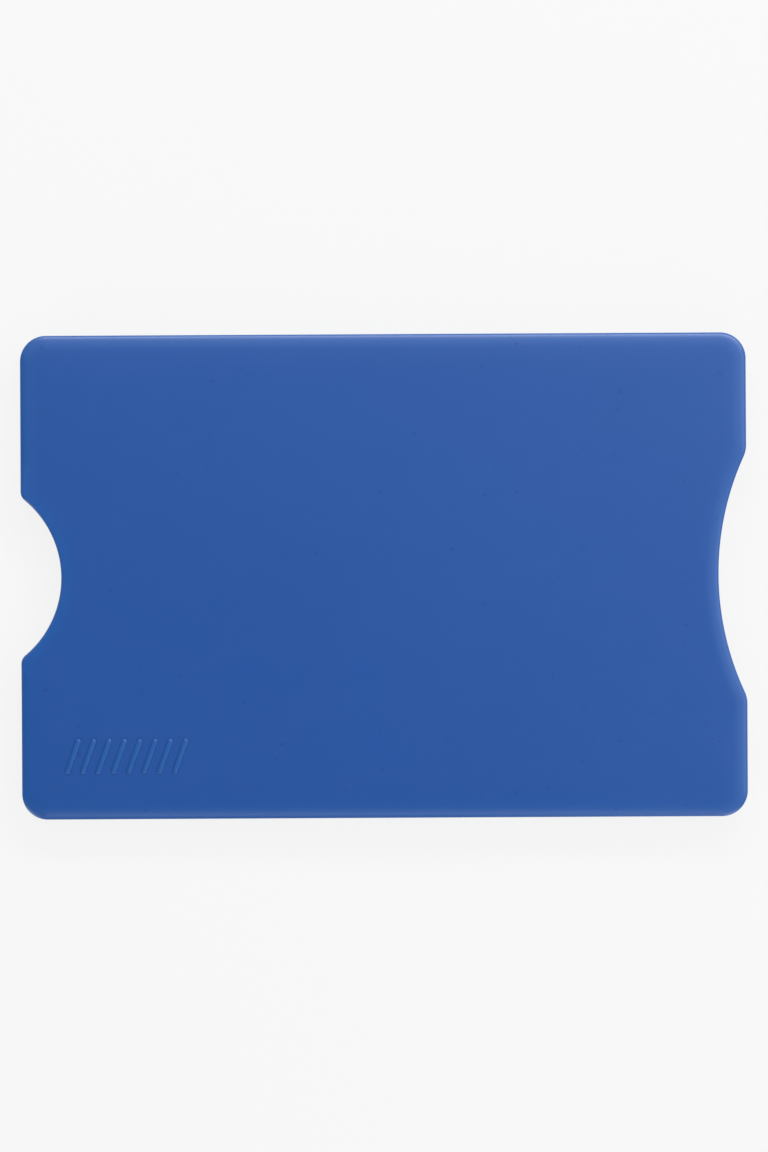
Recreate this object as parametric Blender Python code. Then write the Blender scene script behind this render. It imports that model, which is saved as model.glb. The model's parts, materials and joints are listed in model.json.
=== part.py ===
"""A hard plastic sleeve for one bank card, built the way the real one is.

Two injection-moulded shells meet on a parting plane at half the thickness. A tongue under the front shell's rim
sits in a groove in the rear shell's rim, and the two are welded there. Between the shells is the bay that the card
slides into. Each shell has a shallow recess in the floor of the bay, and in it a shield of aluminium foil on a film
of adhesive.

The frame: X runs along the card, with the open mouth at +X and the thumb notch at -X. Y runs across the card. Z is
the thickness, and the rear face lies on z = 0. The origin is under the middle of that face.

Lengths are in metres and angles in degrees. Each shell is modelled in a frame of its own, in which z = 0 is the
parting plane and +Z points out of the shell, and the rear shell is turned over by its rotation.
"""

import math
from dataclasses import dataclass

import bmesh
import bpy
from mathutils import Vector

# The card that goes in
CARD_LENGTH = 0.0856
CARD_WIDTH = 0.05398
CARD_THICKNESS = 0.00076
CARD_EMBOSSING = 0.00046
CARD_CORNER_RADIUS = 0.00318

# Room left around the card
SIDE_CLEARANCE = 0.0003
END_CLEARANCE = 0.0003
FACE_CLEARANCE = 0.00004

# Walls of the two shells
RIM_WIDTH = 0.00271
END_WALL = 0.0018
MOUTH_OVERHANG = 0.0023
PANEL_WALL = 0.0011

# Outer corners and edges
CORNER_RADIUS = 0.0032
EDGE_FILLET = 0.0015
EDGE_LAND = 0.0002
FILLET_BLEND_RUN = 0.004

# Thumb notch in the closed end
THUMB_NOTCH_RADIUS = 0.0125
THUMB_NOTCH_DEPTH = 0.005
THUMB_SHOULDER_RADIUS = 0.0014
THUMB_NOTCH_FILLET = 0.0007

# Wide notch in the open end
MOUTH_NOTCH_RADIUS = 0.035
MOUTH_NOTCH_DEPTH = 0.0035
MOUTH_SHOULDER_RADIUS = 0.0035
MOUTH_NOTCH_FILLET = 0.001
MOUTH_LEAD_IN = 0.0003
LEAD_IN_MARGIN = 0.0005

# Welded joint between the shells
SEAM_GAP = 0.0001
SEAM_BEVEL = 0.00015
TONGUE_WIDTH = 0.0006
TONGUE_HEIGHT = 0.0005
TONGUE_END_GAP = 0.001
GROOVE_CLEARANCE = 0.0001

# Bumps that hold the card by its long edges
BUMP_MARGIN = 0.0002
BUMP_HEIGHT = 0.0002
BUMP_FROM_MOUTH = 0.008

# Shield foil, its adhesive and the recess that takes them
LEDGE_WIDTH = 0.002
NOTCH_LIP = 0.0015
MOUTH_LIP = 0.003
RECESS_CORNER_RADIUS = 0.002
FOIL_THICKNESS = 0.0001
FOIL_SETBACK = 0.00025
FOIL_SINK = 0.00006
ADHESIVE_THICKNESS = 0.00005
ADHESIVE_SETBACK = 0.0005
LAYER_GAP = 0.00002

# Row of raised grip ribs on the front face
RIB_COUNT = 8
RIB_LENGTH = 0.0046
RIB_WIDTH = 0.00065
RIB_HEIGHT = 0.0002
RIB_PITCH = 0.0019
RIB_SLANT = 20.0
RIB_ROW_FROM_CLOSED_END = 0.013
RIB_ROW_FROM_LONG_EDGE = 0.0078

# How far a cutter, or a boss that is joined on, runs past the face it meets
OVERRUN = 0.0003

# Steps along each kind of curve
CORNER_STEPS = 7
SHOULDER_STEPS = 5
THUMB_STEPS = 12
MOUTH_STEPS = 12
BLEND_STEPS = 4
FILLET_STEPS = 6
BUMP_STEPS = 16
BUMP_ANGLE_SHARES = (1.1, 0.8, 0.5, 0.2)
RIB_END_STEPS = 5
RIB_CROWN_ANGLES = (15.0, 40.0, 65.0)

# Sizes that follow from those above
SLOT_HEIGHT = CARD_THICKNESS + CARD_EMBOSSING + 2 * FACE_CLEARANCE
FOIL_RECESS_DEPTH = FOIL_SINK + FOIL_THICKNESS + ADHESIVE_THICKNESS + 2 * LAYER_GAP
SHELL_HEIGHT = PANEL_WALL + FOIL_RECESS_DEPTH + SLOT_HEIGHT / 2
LENGTH = END_WALL + END_CLEARANCE + CARD_LENGTH + MOUTH_OVERHANG
BAY_HALF_WIDTH = CARD_WIDTH / 2 + SIDE_CLEARANCE
HALF_WIDTH = BAY_HALF_WIDTH + RIM_WIDTH
CLOSED_END = -LENGTH / 2
MOUTH_END = LENGTH / 2
BAY_END = CLOSED_END + END_WALL
LEDGE_LEVEL = SLOT_HEIGHT / 2
RECESS_LEVEL = LEDGE_LEVEL + FOIL_RECESS_DEPTH
SEAM_LEVEL = SEAM_GAP / 2
LARGEST_FILLET = SHELL_HEIGHT - SEAM_LEVEL - SEAM_BEVEL - EDGE_LAND
TONGUE_INSET = (END_WALL - TONGUE_WIDTH) / 2
BUMP_RADIUS = LEDGE_WIDTH / 2 - BUMP_MARGIN

# Colours and finishes
PLASTIC_COLOUR = "325BA4"
PLASTIC_ROUGHNESS = 0.42
FOIL_COLOUR = "C9CBCE"
FOIL_ROUGHNESS = 0.35
ADHESIVE_COLOUR = "D8D2BE"
ADHESIVE_ROUGHNESS = 0.6
CREASE_ANGLE = 35.0
SRGB_LINEAR_END = 0.04045
SRGB_SLOPE = 12.92
SRGB_OFFSET = 0.055
SRGB_POWER = 2.4


@dataclass(frozen=True)
class Notch:
    """A round cut into the straight end of a panel, with rounded shoulders."""

    radius: float
    depth: float
    shoulder: float
    fillet: float
    steps: int

    def half_width(self):
        """From the middle to where the shoulder runs into the straight end."""
        return math.sqrt(self.depth * (2 * (self.radius + self.shoulder) - self.depth))

    def swing(self):
        """Angle that both the cut's half arc and the shoulder's arc turn through."""
        return math.atan2(self.half_width(), self.radius + self.shoulder - self.depth)


@dataclass(frozen=True)
class EdgePoint:
    """A point of an outline, with the direction out of the panel and the fillet of the edge there."""

    place: Vector
    outward: Vector
    fillet: float

    def inset(self, distance, height):
        moved = self.place - self.outward * distance
        return Vector((moved.x, moved.y, height))

    def mirrored(self):
        flip = Vector((1, -1))
        return EdgePoint(self.place * flip, self.outward * flip, self.fillet)

    def halfway(self, other):
        outward = (self.outward + other.outward).normalized()
        return EdgePoint((self.place + other.place) / 2, outward, (self.fillet + other.fillet) / 2)


@dataclass(frozen=True)
class Panel:
    """A rectangle with rounded corners and a notch in each end. Every layer of the holder has this outline."""

    closed_end: float
    mouth_end: float
    half_width: float
    corner: float
    fillet: float
    thumb: Notch
    mouth: Notch

    def mouth_side(self):
        """The half of the mouth end above the X axis, from the middle of the notch to the corner."""
        notch = self.mouth
        end = self.mouth_end
        swing = notch.swing()
        cut_centre = end - notch.depth + notch.radius
        points = arc(cut_centre, 0, notch.radius, math.pi, math.pi - swing, notch.steps, notch.fillet, True)
        points += arc(end - notch.shoulder, notch.half_width(), notch.shoulder, -swing, 0,
                      SHOULDER_STEPS, notch.fillet)[1:]
        return points + self.blend_run(notch, end, 1)

    def closed_side(self):
        """The half of the closed end above the X axis, from the corner to the middle of the notch."""
        notch = self.thumb
        end = self.closed_end
        swing = notch.swing()
        cut_centre = end + notch.depth - notch.radius
        points = self.blend_run(notch, end, -1)[::-1]
        points += arc(end + notch.shoulder, notch.half_width(), notch.shoulder, math.pi, math.pi + swing,
                      SHOULDER_STEPS, notch.fillet)
        return points + arc(cut_centre, 0, notch.radius, swing, 0, notch.steps, notch.fillet, True)[1:]

    def blend_run(self, notch, end, side):
        """Points on the straight end beside a notch, along which the fillet grows to that of the outer edge."""
        start = notch.half_width()
        run = min(FILLET_BLEND_RUN, self.half_width - self.corner - start)
        points = []
        for step in range(1, BLEND_STEPS):
            share = step / BLEND_STEPS
            eased = share * share * (3 - 2 * share)
            fillet = notch.fillet + (self.fillet - notch.fillet) * eased
            points.append(EdgePoint(Vector((end, start + run * share)), Vector((side, 0)), fillet))
        return points

    def corner_arc(self, side, start):
        """A quarter circle round the corner at one end, above the X axis."""
        end = self.mouth_end if side > 0 else self.closed_end
        return arc(end - side * self.corner, self.half_width - self.corner, self.corner,
                   start, start + math.pi / 2, CORNER_STEPS, self.fillet)

    def outline(self):
        """All the points, anticlockwise, from the middle of the mouth notch."""
        upper = self.mouth_side() + self.corner_arc(1, 0) + self.corner_arc(-1, math.pi / 2) + self.closed_side()
        lower = [point.mirrored() for point in upper[-2:0:-1]]
        return upper + lower


def arc(centre_x, centre_y, radius, start, stop, steps, fillet, hollow=False):
    """Points along an arc. On a hollow one the panel lies outside the circle."""
    points = []
    for step in range(steps + 1):
        angle = start + (stop - start) * step / steps
        spoke = Vector((math.cos(angle), math.sin(angle)))
        place = Vector((centre_x, centre_y)) + spoke * radius
        points.append(EdgePoint(place, -spoke if hollow else spoke, fillet))
    return points


def shell_panel():
    """The outer outline of both shells."""
    edge = min(EDGE_FILLET, LARGEST_FILLET)
    thumb = Notch(THUMB_NOTCH_RADIUS, THUMB_NOTCH_DEPTH, THUMB_SHOULDER_RADIUS,
                  min(THUMB_NOTCH_FILLET, edge), THUMB_STEPS)
    mouth = Notch(MOUTH_NOTCH_RADIUS, MOUTH_NOTCH_DEPTH, MOUTH_SHOULDER_RADIUS,
                  min(MOUTH_NOTCH_FILLET, edge), MOUTH_STEPS)
    return Panel(CLOSED_END, MOUTH_END, HALF_WIDTH, CORNER_RADIUS, edge, thumb, mouth)


def recess_panel():
    """The outline of the foil recess, which keeps a ledge along the bay's walls and a lip round the notches."""
    closed_setback = END_WALL + LEDGE_WIDTH
    thumb = Notch(THUMB_NOTCH_RADIUS + NOTCH_LIP, THUMB_NOTCH_DEPTH + NOTCH_LIP - closed_setback,
                  RECESS_CORNER_RADIUS, 0, THUMB_STEPS)
    mouth = Notch(MOUTH_NOTCH_RADIUS + NOTCH_LIP, MOUTH_NOTCH_DEPTH + NOTCH_LIP - MOUTH_LIP,
                  RECESS_CORNER_RADIUS, 0, MOUTH_STEPS)
    return Panel(CLOSED_END + closed_setback, MOUTH_END - MOUTH_LIP, BAY_HALF_WIDTH - LEDGE_WIDTH,
                 RECESS_CORNER_RADIUS, 0, thumb, mouth)


def loft(mesh, rings):
    """Joins rings of equally many points with quads and closes both ends."""
    rows = [[mesh.verts.new(point) for point in ring] for ring in rings]
    for lower, upper in zip(rows, rows[1:]):
        for index in range(len(lower)):
            after = (index + 1) % len(lower)
            mesh.faces.new((lower[index], lower[after], upper[after], upper[index]))
    mesh.faces.new(rows[0][::-1])
    mesh.faces.new(rows[-1])


def add_object(name, parent, fill):
    """Makes a mesh object of what fill(mesh) builds, with its faces outward."""
    mesh = bmesh.new()
    fill(mesh)
    bmesh.ops.recalc_face_normals(mesh, faces=mesh.faces)
    data = bpy.data.meshes.new(name)
    mesh.to_mesh(data)
    mesh.free()
    made = bpy.data.objects.new(name, data)
    made.parent = parent
    bpy.context.scene.collection.objects.link(made)
    return made


def add_slab(name, parent, loops, bottom, top):
    """Makes one prism of each closed loop of EdgePoints or Vectors in the XY plane."""

    def fill(mesh):
        for loop in loops:
            loft(mesh, [[Vector((x, y, height)) for x, y in loop] for height in (bottom, top)])

    return add_object(name, parent, fill)


def flat_loop(points, distance=0):
    """The (x, y) pairs of an outline that is drawn in by a distance."""
    return [point.inset(distance, 0).to_2d().to_tuple() for point in points]


def finish(piece, material):
    """Gives a piece its material and shades its round faces smooth and its flat ones flat."""
    piece.data.materials.append(material)
    piece.data.shade_smooth()
    piece.data.set_sharp_from_angle(angle=math.radians(CREASE_ANGLE))
    shading = piece.modifiers.new("flat_faces", "WEIGHTED_NORMAL")
    shading.keep_sharp = True


def combine(piece, tool, operation):
    """Joins a tool to the piece, or cuts it away, and leaves the tool out of the finished part."""
    tool.hide_render = True
    tool.display_type = "WIRE"
    modifier = piece.modifiers.new(tool.name, "BOOLEAN")
    modifier.operation = operation
    modifier.solver = "EXACT"
    modifier.object = tool


def linear(hex_colour):
    """The linear RGBA of an sRGB colour written as six hex digits."""
    rgba = []
    for start in (0, 2, 4):
        channel = int(hex_colour[start:start + 2], 16) / 255
        if channel <= SRGB_LINEAR_END:
            rgba.append(channel / SRGB_SLOPE)
        else:
            rgba.append(((channel + SRGB_OFFSET) / (1 + SRGB_OFFSET)) ** SRGB_POWER)
    return rgba + [1.0]


def principled(name, hex_colour, roughness, metallic=0.0):
    """A plain material in one colour."""
    material = bpy.data.materials.new(name)
    material.use_nodes = True
    shader = material.node_tree.nodes["Principled BSDF"]
    shader.inputs["Base Color"].default_value = linear(hex_colour)
    shader.inputs["Roughness"].default_value = roughness
    shader.inputs["Metallic"].default_value = metallic
    material.diffuse_color = linear(hex_colour)
    return material


def shell_body(mesh):
    """The closed outer form of a shell: a bevel at the seam, an upright land and a fillet up to the face."""
    outline = shell_panel().outline()
    rings = [[point.inset(SEAM_BEVEL, SEAM_LEVEL) for point in outline],
             [point.inset(0, SEAM_LEVEL + SEAM_BEVEL) for point in outline]]
    for step in range(FILLET_STEPS + 1):
        turn = math.pi / 2 * step / FILLET_STEPS
        rings.append([point.inset(point.fillet * (1 - math.cos(turn)),
                                  SHELL_HEIGHT - point.fillet * (1 - math.sin(turn)))
                      for point in outline])
    loft(mesh, rings)


def bay_loop():
    """The card bay seen from above, open past the mouth and rounded like the card at the closed end."""
    radius = CARD_CORNER_RADIUS + SIDE_CLEARANCE
    centre_x = BAY_END + radius
    centre_y = BAY_HALF_WIDTH - radius
    upper = arc(centre_x, centre_y, radius, math.pi / 2, math.pi, CORNER_STEPS, 0)
    lower = arc(centre_x, -centre_y, radius, math.pi, 3 * math.pi / 2, CORNER_STEPS, 0)
    past_mouth = MOUTH_END + OVERRUN
    return [(past_mouth, BAY_HALF_WIDTH)] + flat_loop(upper + lower) + [(past_mouth, -BAY_HALF_WIDTH)]


def lead_in(mesh):
    """A wedge along the bay's edge at the mouth, which leaves a slope there for the card to enter by.

    It ends a margin short of the bay's side walls, and its points lie between those of the outline.
    """
    last_y = BAY_HALF_WIDTH - LEAD_IN_MARGIN
    rise = max(last_y - (HALF_WIDTH - CORNER_RADIUS), 0)
    last_x = MOUTH_END - CORNER_RADIUS + math.sqrt(CORNER_RADIUS * CORNER_RADIUS - rise * rise)
    last = EdgePoint(Vector((last_x, last_y)), Vector((1, 0)), 0)
    side = [point for point in shell_panel().mouth_side() if point.place.y < last_y] + [last]
    upper = [first.halfway(second) for first, second in zip(side, side[1:])] + [last]
    path = [point.mirrored() for point in upper[::-1]] + upper
    foot = LEDGE_LEVEL - OVERRUN
    sections = [(MOUTH_LEAD_IN + OVERRUN, foot), (-OVERRUN, foot), (-OVERRUN, LEDGE_LEVEL + MOUTH_LEAD_IN + OVERRUN)]
    loft(mesh, [[point.inset(distance, height) for distance, height in sections] for point in path])


def tongue_loops(margin):
    """The tongue's two bands seen from above, each along a long side and round the corner to the thumb notch."""
    panel = shell_panel()
    up = Vector((0, 1))
    start = EdgePoint(Vector((MOUTH_END - CORNER_RADIUS - TONGUE_END_GAP + margin, HALF_WIDTH)), up, 0)
    stop_y = panel.thumb.half_width() + TONGUE_END_GAP - margin
    stop = EdgePoint(Vector((CLOSED_END, stop_y)), Vector((-1, 0)), 0)
    path = [start] + panel.corner_arc(-1, math.pi / 2) + [stop]
    loops = []
    for side in (path, [point.mirrored() for point in path]):
        outer = flat_loop(side, TONGUE_INSET - margin)
        inner = flat_loop(side, TONGUE_INSET + TONGUE_WIDTH + margin)
        loops.append(outer + inner[::-1])
    return loops


def bumps(mesh):
    """Two low domes on the ledges near the mouth, turned towards the card."""
    sphere = (BUMP_RADIUS * BUMP_RADIUS + BUMP_HEIGHT * BUMP_HEIGHT) / (2 * BUMP_HEIGHT)
    rim_angle = math.asin(BUMP_RADIUS / sphere)
    centre_x = MOUTH_END - BUMP_FROM_MOUTH
    for side in (1, -1):
        centre_y = side * (BAY_HALF_WIDTH - LEDGE_WIDTH / 2)
        rings = [ring_of(centre_x, centre_y, BUMP_RADIUS, LEDGE_LEVEL + OVERRUN)]
        for share in BUMP_ANGLE_SHARES:
            angle = rim_angle * share
            drop = sphere * math.cos(angle) - sphere * math.cos(rim_angle)
            rings.append(ring_of(centre_x, centre_y, sphere * math.sin(angle), LEDGE_LEVEL - drop))
        loft(mesh, rings[::-1])


def ring_of(centre_x, centre_y, radius, height):
    """A circle of points for a bump."""
    angles = [2 * math.pi * step / BUMP_STEPS for step in range(BUMP_STEPS)]
    return [Vector((centre_x + radius * math.cos(a), centre_y + radius * math.sin(a), height)) for a in angles]


def rib_ring(centre_x, centre_y, inset, height):
    """A slanted stadium, drawn in by an inset."""
    reach = (RIB_LENGTH - RIB_WIDTH) / 2
    slant = math.radians(RIB_SLANT)
    along = Vector((math.sin(slant), math.cos(slant)))
    ring = []
    for end in (1, -1):
        end_centre = Vector((centre_x, centre_y)) + along * reach * end
        first = -slant if end > 0 else math.pi - slant
        ring += flat_loop(arc(end_centre.x, end_centre.y, RIB_WIDTH / 2 - inset, first, first + math.pi,
                              RIB_END_STEPS, 0))
    return [Vector((x, y, height)) for x, y in ring]


def ribs(mesh):
    """The row of slanted ribs with rounded crowns on the front face."""
    row_x = CLOSED_END + RIB_ROW_FROM_CLOSED_END
    row_y = -HALF_WIDTH + RIB_ROW_FROM_LONG_EDGE
    for number in range(RIB_COUNT):
        centre_x = row_x + RIB_PITCH * (number - (RIB_COUNT - 1) / 2)
        rings = [rib_ring(centre_x, row_y, 0, SHELL_HEIGHT - OVERRUN)]
        for degrees in RIB_CROWN_ANGLES:
            turn = math.radians(degrees)
            rings.append(rib_ring(centre_x, row_y, RIB_WIDTH / 2 * (1 - math.cos(turn)),
                                  SHELL_HEIGHT + RIB_HEIGHT * math.sin(turn)))
        loft(mesh, rings)


def add_shell(name, parent):
    """One shell with its bay, foil recess, lead-in and bumps. The caller adds the joint and the finish."""
    shell = add_object(name, parent, shell_body)
    bay = add_slab(name + "_bay_cutter", shell, [bay_loop()], -OVERRUN, LEDGE_LEVEL)
    combine(shell, bay, "DIFFERENCE")
    recess_loop = flat_loop(recess_panel().outline())
    recess = add_slab(name + "_recess_cutter", shell, [recess_loop], LEDGE_LEVEL - OVERRUN, RECESS_LEVEL)
    combine(shell, recess, "DIFFERENCE")
    combine(shell, add_object(name + "_bump_bosses", shell, bumps), "UNION")
    combine(shell, add_object(name + "_lead_in_cutter", shell, lead_in), "DIFFERENCE")
    return shell


def add_shield(side, parent, foil_material, adhesive_material):
    """The foil and its adhesive in the recess of one shell."""
    outline = recess_panel().outline()
    adhesive_top = RECESS_LEVEL - LAYER_GAP
    adhesive_bottom = adhesive_top - ADHESIVE_THICKNESS
    foil_top = adhesive_bottom - LAYER_GAP
    foil_bottom = foil_top - FOIL_THICKNESS
    adhesive_loop = flat_loop(outline, ADHESIVE_SETBACK)
    foil_loop = flat_loop(outline, FOIL_SETBACK)
    adhesive = add_slab(side + "_foil_adhesive", parent, [adhesive_loop], adhesive_bottom, adhesive_top)
    foil = add_slab(side + "_shield_foil", parent, [foil_loop], foil_bottom, foil_top)
    finish(adhesive, adhesive_material)
    finish(foil, foil_material)


def add_empty(name, parent=None):
    """An empty that carries other objects."""
    made = bpy.data.objects.new(name, None)
    made.empty_display_size = LENGTH / 2
    made.parent = parent
    bpy.context.scene.collection.objects.link(made)
    return made


def main():
    for old in list(bpy.data.objects):
        bpy.data.objects.remove(old)

    front_plastic = principled("front_polystyrene", PLASTIC_COLOUR, PLASTIC_ROUGHNESS)
    rear_plastic = principled("rear_polystyrene", PLASTIC_COLOUR, PLASTIC_ROUGHNESS)
    front_foil = principled("front_aluminium_foil", FOIL_COLOUR, FOIL_ROUGHNESS, 1.0)
    rear_foil = principled("rear_aluminium_foil", FOIL_COLOUR, FOIL_ROUGHNESS, 1.0)
    front_film = principled("front_adhesive_film", ADHESIVE_COLOUR, ADHESIVE_ROUGHNESS)
    rear_film = principled("rear_adhesive_film", ADHESIVE_COLOUR, ADHESIVE_ROUGHNESS)

    holder = add_empty("card_holder")
    front_side = add_empty("front_side", holder)
    rear_side = add_empty("rear_side", holder)
    front_side.location.z = SHELL_HEIGHT
    rear_side.location.z = SHELL_HEIGHT
    rear_side.rotation_euler.x = math.pi

    front_shell = add_shell("front_shell", front_side)
    tongue = add_slab("tongue_boss", front_shell, tongue_loops(0), -TONGUE_HEIGHT, SEAM_LEVEL + OVERRUN)
    combine(front_shell, tongue, "UNION")
    combine(front_shell, add_object("rib_bosses", front_shell, ribs), "UNION")
    finish(front_shell, front_plastic)
    add_shield("front", front_side, front_foil, front_film)

    rear_shell = add_shell("rear_shell", rear_side)
    groove = add_slab("groove_cutter", rear_shell, tongue_loops(GROOVE_CLEARANCE),
                      -OVERRUN, TONGUE_HEIGHT + GROOVE_CLEARANCE)
    combine(rear_shell, groove, "DIFFERENCE")
    finish(rear_shell, rear_plastic)
    add_shield("rear", rear_side, rear_foil, rear_film)


if __name__ == "__main__":
    main()
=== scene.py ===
"""The looks of a hard plastic sleeve for one bank card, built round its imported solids.

Two moulded shells, a foil shield with its adhesive in each, and a row of grip ribs on the front. Everything
is in metres, in the frame of the solids: X runs along the card with the open mouth at +X, Y runs across it,
and Z is the thickness, with the rear face on z = 0. A shell is first modelled in its side's own frame, in
which z = 0 is the parting plane between the shells and +Z points out of the shell.
"""

import json
import logging
import math
from collections.abc import Callable, Iterable, Sequence
from dataclasses import dataclass, field
from enum import Enum

import bpy
import bmesh
import numpy as np
from bmesh.types import BMesh
from bpy.types import Material, Node, NodeSocket, NodeTree, Object
from mathutils import Matrix, Vector
from mathutils.geometry import delaunay_2d_cdt

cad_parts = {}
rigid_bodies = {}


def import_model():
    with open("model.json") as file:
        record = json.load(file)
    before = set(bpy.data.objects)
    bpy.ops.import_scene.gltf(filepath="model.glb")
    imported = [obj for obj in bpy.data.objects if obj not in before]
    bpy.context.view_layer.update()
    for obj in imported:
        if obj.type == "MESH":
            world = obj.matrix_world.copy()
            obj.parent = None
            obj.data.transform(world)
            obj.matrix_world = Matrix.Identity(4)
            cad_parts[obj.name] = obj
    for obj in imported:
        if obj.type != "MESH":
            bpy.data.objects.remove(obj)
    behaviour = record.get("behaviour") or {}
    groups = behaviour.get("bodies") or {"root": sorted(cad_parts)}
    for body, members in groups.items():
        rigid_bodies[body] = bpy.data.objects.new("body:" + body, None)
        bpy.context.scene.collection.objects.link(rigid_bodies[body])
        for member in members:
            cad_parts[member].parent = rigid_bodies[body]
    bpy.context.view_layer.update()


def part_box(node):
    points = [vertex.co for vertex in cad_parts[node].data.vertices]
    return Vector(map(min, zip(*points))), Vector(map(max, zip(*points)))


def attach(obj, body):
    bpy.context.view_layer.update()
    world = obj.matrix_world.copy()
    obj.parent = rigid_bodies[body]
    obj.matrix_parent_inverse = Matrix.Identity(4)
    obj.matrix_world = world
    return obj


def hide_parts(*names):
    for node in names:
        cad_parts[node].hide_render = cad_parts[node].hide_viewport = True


for leftover in list(bpy.data.objects):
    bpy.data.objects.remove(leftover)

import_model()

LOG = logging.getLogger("card_holder")

MM = 0.001
MICRON = 0.000001
QUARTER_TURN = math.pi / 2
FULL_TURN = 2 * math.pi
BODY = "root"
CREASE_ANGLE = math.radians(35)
LEAST_SQUARED_LENGTH = 1e-18
SAME_PLACE = 1e-9
SRGB_LINEAR_END = 0.04045
SRGB_SLOPE = 12.92
SRGB_OFFSET = 0.055
SRGB_POWER = 2.4


class Side(Enum):
    """The two sides of the holder."""

    FRONT = "front"
    REAR = "rear"

    def to_frame(self, parting_level: float) -> Matrix:
        """Gives the matrix from this side's own frame to the frame of the solids.

        Args:
            parting_level: Height of the parting plane above the rear face.

        Returns:
            A lift for the front side, and a lift of the part turned over about X for the rear one.
        """
        lift = Matrix.Translation((0, 0, parting_level))
        if self is Side.FRONT:
            return lift
        return lift @ Matrix.Rotation(math.pi, 4, "X")


class Joining(Enum):
    """What a tool does to the moulding that it meets."""

    CUT = "DIFFERENCE"
    ADD = "UNION"


class Slot(Enum):
    """The record's material slots."""

    PLASTIC = "shell_plastic"
    FOIL = "shield_foil"
    ADHESIVE = "adhesive_film"


@dataclass(frozen=True)
class EdgeRound:
    """The rounding between a face and a side: how far it reaches over the face, and how far it drops."""

    reach: float
    drop: float

    def towards(self, other: "EdgeRound", share: float) -> "EdgeRound":
        """Gives the rounding that lies a share of the way from this one to another."""
        return EdgeRound(self.reach + (other.reach - self.reach) * share,
                         self.drop + (other.drop - self.drop) * share)


NO_ROUND = EdgeRound(0, 0)


@dataclass(frozen=True)
class EdgePoint:
    """A point of an outline, with the direction out of the panel and the rounding of the edge there."""

    place: Vector
    outward: Vector
    rounding: EdgeRound = NO_ROUND

    def inset(self, distance: float, height: float) -> Vector:
        """Gives the point drawn into the panel by a distance, at a height."""
        moved = self.place - self.outward * distance
        return Vector((moved.x, moved.y, height))

    def mirrored(self) -> "EdgePoint":
        """Gives the same point on the other side of the X axis."""
        flip = Vector((1, -1))
        return EdgePoint(self.place * flip, self.outward * flip, self.rounding)

    def halfway(self, other: "EdgePoint") -> "EdgePoint":
        """Gives the point in the middle between this one and another."""
        outward = (self.outward + other.outward).normalized()
        return EdgePoint((self.place + other.place) / 2, outward, self.rounding.towards(other.rounding, 0.5))


@dataclass(frozen=True)
class Notch:
    """A round cut into the straight end of a panel, with rounded shoulders."""

    radius: float
    depth: float
    shoulder: float
    rounding: EdgeRound = NO_ROUND
    steps: int = 40
    shoulder_steps: int = 12

    def half_width(self) -> float:
        """Measures from the middle to where the shoulder runs into the straight end."""
        return math.sqrt(self.depth * (2 * (self.radius + self.shoulder) - self.depth))

    def swing(self) -> float:
        """Gives the angle that the cut's half arc and the shoulder's arc both turn through."""
        return math.atan2(self.half_width(), self.radius + self.shoulder - self.depth)


@dataclass(frozen=True)
class Panel:
    """A rectangle with rounded corners and a notch in each end, the outline of every layer of the holder."""

    closed_end: float
    mouth_end: float
    half_width: float
    corner: float
    thumb: Notch
    mouth: Notch
    rounding: EdgeRound = NO_ROUND
    blend_run: float = 4 * MM
    blend_steps: int = 10
    corner_steps: int = 22

    def end_half(self, side: int) -> list[EdgePoint]:
        """Gives one end's half above the X axis.

        Args:
            side: 1 for the mouth end and -1 for the closed end.

        Returns:
            Points from the middle of the notch outward, as far as the corner.
        """
        notch, end, middle = self.thumb, self.closed_end, 0
        if side > 0:
            notch, end, middle = self.mouth, self.mouth_end, math.pi
        turn = -side * notch.swing()
        centre = Vector((end + side * (notch.radius - notch.depth), 0))
        points = arc(centre, notch.radius, middle, middle + turn, notch.steps, notch.rounding, hollow=True)
        shoulder = Vector((end - side * notch.shoulder, notch.half_width()))
        last = math.pi - middle
        points += arc(shoulder, notch.shoulder, last + turn, last, notch.shoulder_steps, notch.rounding)[1:]
        return points + self.blend(notch, end, side)

    def blend(self, notch: Notch, end: float, side: int) -> list[EdgePoint]:
        """Runs along the straight end beside a notch, where the rounding grows to that of the long edges.

        Args:
            notch: The notch that the run starts at.
            end: Where the straight end lies along X.
            side: 1 at the mouth end and -1 at the closed end.

        Returns:
            Points above the X axis, going outward from the notch.
        """
        start = notch.half_width()
        run = min(self.blend_run, self.half_width - self.corner - start)
        points = []
        for step in range(1, self.blend_steps):
            share = step / self.blend_steps
            eased = share * share * (3 - 2 * share)
            rounding = notch.rounding.towards(self.rounding, eased)
            points.append(EdgePoint(Vector((end, start + run * share)), Vector((side, 0)), rounding))
        return points

    def corner_arc(self, side: int) -> list[EdgePoint]:
        """Gives a quarter circle round a corner above the X axis.

        Args:
            side: 1 for the mouth end's corner and -1 for the closed end's.

        Returns:
            The points, anticlockwise.
        """
        end, start = (self.mouth_end, 0) if side > 0 else (self.closed_end, QUARTER_TURN)
        centre = Vector((end - side * self.corner, self.half_width - self.corner))
        return arc(centre, self.corner, start, start + QUARTER_TURN, self.corner_steps, self.rounding)

    def outline(self) -> list[EdgePoint]:
        """Gives all the points, anticlockwise, from the middle of the mouth notch."""
        upper = self.end_half(1) + self.corner_arc(1) + self.corner_arc(-1) + self.end_half(-1)[::-1]
        return upper + [point.mirrored() for point in upper[-2:0:-1]]


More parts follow.
